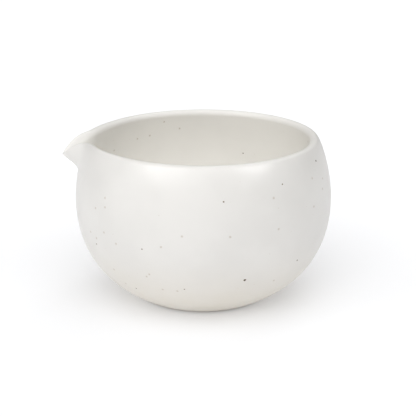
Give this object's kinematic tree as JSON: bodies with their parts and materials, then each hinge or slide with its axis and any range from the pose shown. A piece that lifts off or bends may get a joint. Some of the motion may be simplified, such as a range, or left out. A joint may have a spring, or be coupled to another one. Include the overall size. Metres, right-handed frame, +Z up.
{
  "type": "spouted stoneware mortar bowl",
  "caption": "Round-bellied stoneware bowl with a rolled rim, one small pulled pouring spout and a low turned foot ring, glazed satin white with iron specks.",
  "frame": {"origin": "centre of the foot ring at table level, on the bowl's own axis", "axes": "+Z up along the bowl's axis; the spout points along -X; the plane Y = 0 is the plane of symmetry"},
  "size_m": [0.1308, 0.125, 0.08],
  "materials": {
    "clay": "bare fired stoneware, matt and slightly gritty",
    "glaze": "satin-matt off-white glaze",
    "iron_spot": "dark brown melted iron, satin"
  },
  "bodies": {
    "root": {"stoneware_body": "clay", "glaze_coat": "glaze", "iron_specks": "iron_spot"}
  },
  "joints": []
}
